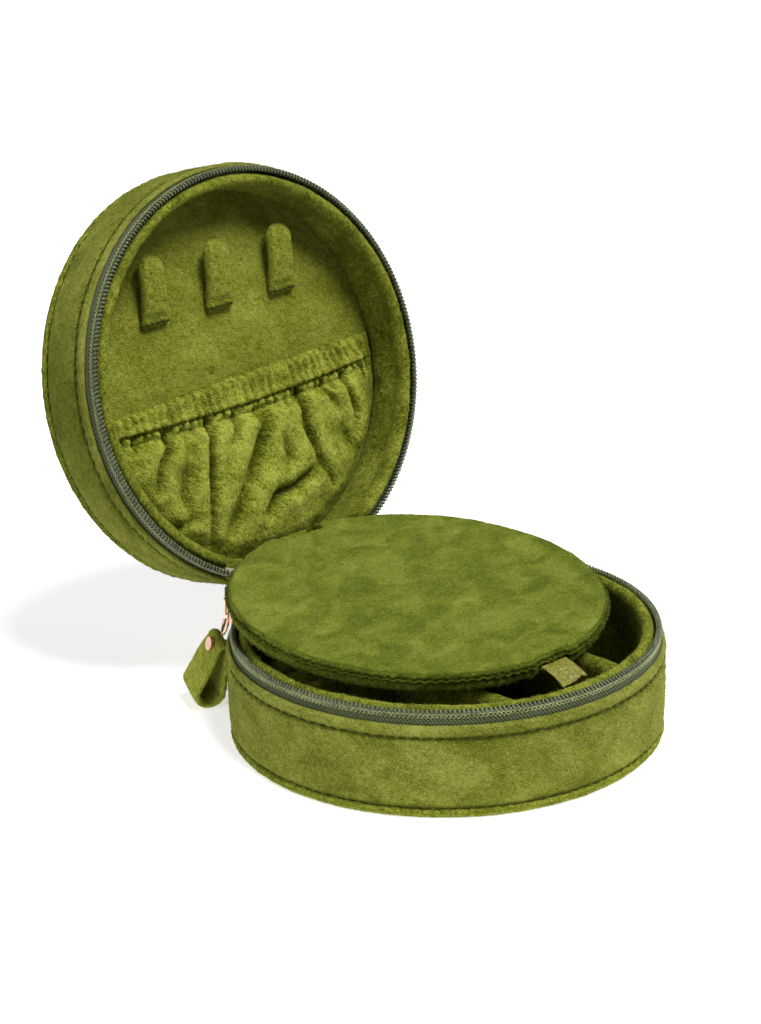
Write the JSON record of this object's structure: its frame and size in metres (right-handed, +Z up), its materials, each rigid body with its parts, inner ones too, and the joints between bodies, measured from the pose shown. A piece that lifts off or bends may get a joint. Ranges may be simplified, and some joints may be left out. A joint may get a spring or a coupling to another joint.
{
  "type": "travel jewelry case",
  "caption": "Round velvet travel jewelry case with a zip, hinged lid with chain straps and gathered pocket, padded inner flap, ring rolls and compartments.",
  "frame": {"origin": "centre of the base's underside", "axes": "+Z up, +Y towards the hinge at the back, X along the hinge line"},
  "size_m": [0.115, 0.1656, 0.138],
  "materials": {
    "velvet": "short-pile plush",
    "card": "grey pulp board",
    "foam": "soft open foam",
    "zip_tape": "woven twill tape",
    "zip_coil": "satin nylon",
    "ribbon": "satin",
    "elastic": "woven elastic",
    "rose_gold": "polished plating",
    "stud_metal": "antique plating"
  },
  "bodies": {
    "base": {"base_outer_wall": "velvet", "base_piping": "velvet", "base_wall_board": "card", "base_flat_cover": "velvet", "base_flat_board": "card", "zip_tape_base": "zip_tape", "zip_coil_base": "zip_coil", "zip_stops_base": "zip_coil", "hinge_fabric_base": "velvet", "base_lining_wall": "velvet", "base_lining_floor": "velvet", "cross_divider": "velvet", "front_divider_left": "velvet", "front_divider_right": "velvet", "ring_roll_shelf": "foam", "ring_roll_1": "velvet", "ring_roll_2": "velvet", "ring_roll_3": "velvet", "ring_roll_4": "velvet"},
    "lid": {"lid_outer_wall": "velvet", "lid_piping": "velvet", "lid_wall_board": "card", "lid_flat_cover": "velvet", "lid_flat_board": "card", "zip_tape_lid": "zip_tape", "zip_coil_lid": "zip_coil", "zip_stops_lid": "zip_coil", "hinge_fabric_lid": "velvet", "lid_lining_wall": "velvet", "lid_lining_panel": "velvet", "lid_foam_pad": "foam", "strap_anchors": "velvet", "panel_studs": "stud_metal", "lid_pocket": "velvet", "pocket_elastic": "elastic"},
    "flap_strip": {"flap_strip": "velvet"},
    "flap": {"flap_top_cover": "velvet", "flap_bottom_cover": "velvet", "flap_foam": "foam", "flap_board": "card"},
    "ribbon_tab": {"ribbon_tab": "ribbon"},
    "zip_slider": {"zip_slider_body": "rose_gold"},
    "puller": {"pull_ring": "rose_gold", "puller_loop": "velvet", "puller_rivet": "rose_gold"},
    "strap_left": {"strap_left": "velvet", "strap_socket_left": "stud_metal"},
    "strap_middle": {"strap_middle": "velvet", "strap_socket_middle": "stud_metal"},
    "strap_right": {"strap_right": "velvet", "strap_socket_right": "stud_metal"}
  },
  "joints": [
    {"name": "lid_hinge", "type": "hinge", "parent": "base", "child": "lid", "pos_m": [0, 0.05613, 0.02921], "axis": [1, 0, 0], "range_deg": [0, 105]},
    {"name": "flap_strip_turn", "type": "hinge", "parent": "base", "child": "flap_strip", "pos_m": [0, 0.05697, 0.03216], "axis": [1, 0, 0], "range_deg": [0, 162.06]},
    {"name": "flap_turn", "type": "hinge", "parent": "flap_strip", "child": "flap", "pos_m": [0, 0.06156, 0.03721], "axis": [1, 0, 0], "range_deg": [-166.43, 0]},
    {"name": "tab_fold", "type": "hinge", "parent": "flap", "child": "ribbon_tab", "pos_m": [0, -0.03911, 0.02951], "axis": [1, 0, 0], "range_deg": [-100.3, 0]},
    {"name": "slider_travel", "type": "hinge", "parent": "base", "child": "zip_slider", "pos_m": [0, 0, 0.0284], "axis": [0, 0, 1], "range_deg": [0, 294]},
    {"name": "puller_swing", "type": "hinge", "parent": "zip_slider", "child": "puller", "pos_m": [-0.03256, 0.05014, 0.0279], "axis": [0.8387, 0.5446, 0], "range_deg": [0, 70]},
    {"name": "strap_left_snap", "type": "hinge", "parent": "lid", "child": "strap_left", "pos_m": [-0.023, 0.08686, 0.10176], "axis": [-1, 0, 0], "range_deg": [-141, 9]},
    {"name": "strap_middle_snap", "type": "hinge", "parent": "lid", "child": "strap_middle", "pos_m": [0, 0.08686, 0.10176], "axis": [-1, 0, 0], "range_deg": [-141, 9]},
    {"name": "strap_right_snap", "type": "hinge", "parent": "lid", "child": "strap_right", "pos_m": [0.023, 0.08686, 0.10176], "axis": [-1, 0, 0], "range_deg": [-141, 9]}
  ],
  "couplings": [
    {"joint": "flap_strip_turn", "follows": "lid_hinge", "ratio": 1.5406},
    {"joint": "flap_turn", "follows": "lid_hinge", "ratio": -1.5822},
    {"joint": "tab_fold", "follows": "lid_hinge", "ratio": -0.95238}
  ]
}
